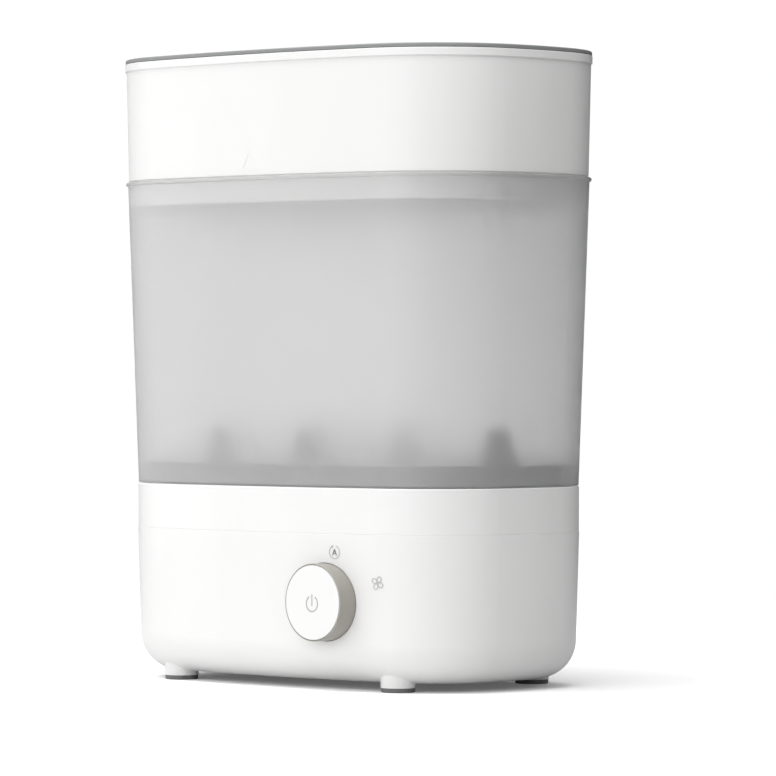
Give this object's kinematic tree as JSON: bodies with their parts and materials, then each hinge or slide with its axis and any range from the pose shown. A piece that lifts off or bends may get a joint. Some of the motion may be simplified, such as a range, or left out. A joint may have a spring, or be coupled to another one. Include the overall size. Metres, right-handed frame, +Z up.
{
  "type": "bottle sterilizer",
  "caption": "Countertop steam sterilizer and dryer: a base with a mode knob carries a frosted bottle basket, a white small-item basket and a lid.",
  "frame": {"origin": "on the floor under the middle of the body", "axes": "+Z up, +X to the right seen from the front, the knob side faces -Y"},
  "size_m": [0.293, 0.176, 0.359],
  "materials": {
    "white_shell": "smooth satin-gloss white moulding",
    "frosted_clear": "frosted translucent plastic",
    "lid_grey": "grey frosted translucent plastic",
    "rack_grey": "matt grey moulding",
    "taupe": "satin taupe moulding",
    "pad_rubber": "matt grey rubber",
    "silicone": "white silicone",
    "gland_rubber": "light grey rubber",
    "steel_polished": "brushed stainless",
    "element_steel": "heat-tinted steel tube",
    "cast_alloy": "as-cast aluminium",
    "sheet_steel": "zinc-plated sheet",
    "screw_steel": "zinc-plated screws",
    "dark_plastic": "matt black moulding",
    "grey_plastic": "matt grey moulding",
    "motor_metal": "lacquered laminations and windings",
    "ceramic_heater": "folded aluminium fins on ceramic bars",
    "filter_felt": "pleated filter felt",
    "board_green": "green circuit board",
    "clear_light": "clear moulding",
    "lamp_white": "white lamp package",
    "magnet_grey": "nickel-plated magnet",
    "icon_dark": "printed grey ink",
    "icon_mid": "printed mid grey ink",
    "icon_light": "printed light grey ink",
    "lead_silicone": "red silicone insulation",
    "ribbon_grey": "grey ribbon insulation"
  },
  "bodies": {
    "base": {"lower_housing": "white_shell", "upper_housing": "white_shell", "basin_deck": "white_shell", "basin_seal": "silicone", "foot_pads": "pad_rubber", "housing_screws": "screw_steel", "heater_gasket": "silicone", "heating_plate": "steel_polished", "heat_spreader": "cast_alloy", "heating_element": "element_steel", "heater_clamp": "sheet_steel", "clamp_screws": "screw_steel", "thermostat": "sheet_steel", "thermal_fuse": "element_steel", "blower_housing": "dark_plastic", "blower_cover": "dark_plastic", "blower_screws": "screw_steel", "fan_motor": "motor_metal", "air_duct": "grey_plastic", "drying_heater": "ceramic_heater", "outlet_cap": "white_shell", "filter_holder": "grey_plastic", "power_board": "board_green", "power_board_parts": "dark_plastic", "board_screws": "screw_steel", "control_bracket": "grey_plastic", "control_board": "board_green", "board_spacers": "grey_plastic", "control_screws": "screw_steel", "tact_switch": "dark_plastic", "position_sensors": "dark_plastic", "status_leds": "lamp_white", "light_guides": "clear_light", "detent_spring": "sheet_steel", "button_spring": "sheet_steel", "auto_icon": "icon_dark", "dry_icon": "icon_light", "cord_gland": "gland_rubber", "heater_leads": "lead_silicone", "drying_leads": "lead_silicone", "ribbon_cable": "ribbon_grey"},
    "mode_ring": {"knob_ring": "taupe", "detent_disc": "grey_plastic", "ring_magnet": "magnet_grey"},
    "power_button": {"power_button": "white_shell", "switch_plunger": "grey_plastic", "power_icon": "icon_mid"},
    "blower_wheel": {"impeller": "dark_plastic", "motor_shaft": "sheet_steel"},
    "filter_door": {"filter_cover": "white_shell", "air_filter": "filter_felt"},
    "bottle_basket": {"large_basket": "frosted_clear"},
    "rack": {"bottle_rack": "rack_grey"},
    "upper_basket": {"small_basket": "white_shell"},
    "tray": {"item_tray": "rack_grey"},
    "lid_assembly": {"lid": "lid_grey", "lid_grip": "lid_grey", "steam_vent": "lid_grey"}
  },
  "joints": [
    {"name": "mode_ring_turn", "type": "hinge", "parent": "base", "child": "mode_ring", "pos_m": [0.052, 0, 0.0497], "axis": [0, 1, 0], "range_deg": [0, 60]},
    {"name": "power_button_press", "type": "slide", "parent": "base", "child": "power_button", "axis": [0, 1, 0], "range_m": [0, 0.0012], "stiffness_N_per_m": 400, "deforming": ["button_spring"]},
    {"name": "blower_spin", "type": "hinge", "parent": "base", "child": "blower_wheel", "pos_m": [0.048, 0.012, 0], "axis": [0, 0, 1], "continuous": true},
    {"name": "filter_door_pull", "type": "slide", "parent": "base", "child": "filter_door", "axis": [0, 1, 0], "range_m": [0, 0.045]},
    {"name": "bottle_basket_lift", "type": "slide", "parent": "base", "child": "bottle_basket", "axis": [0, 0, 1], "range_m": [0, 0.12]},
    {"name": "rack_lift", "type": "slide", "parent": "bottle_basket", "child": "rack", "axis": [0, 0, 1], "range_m": [0, 0.11]},
    {"name": "upper_basket_lift", "type": "slide", "parent": "bottle_basket", "child": "upper_basket", "axis": [0, 0, 1], "range_m": [0, 0.1]},
    {"name": "tray_lift", "type": "slide", "parent": "upper_basket", "child": "tray", "axis": [0, 0, 1], "range_m": [0, 0.05]},
    {"name": "lid_lift", "type": "slide", "parent": "upper_basket", "child": "lid_assembly", "axis": [0, 0, 1], "range_m": [0, 0.08]}
  ]
}
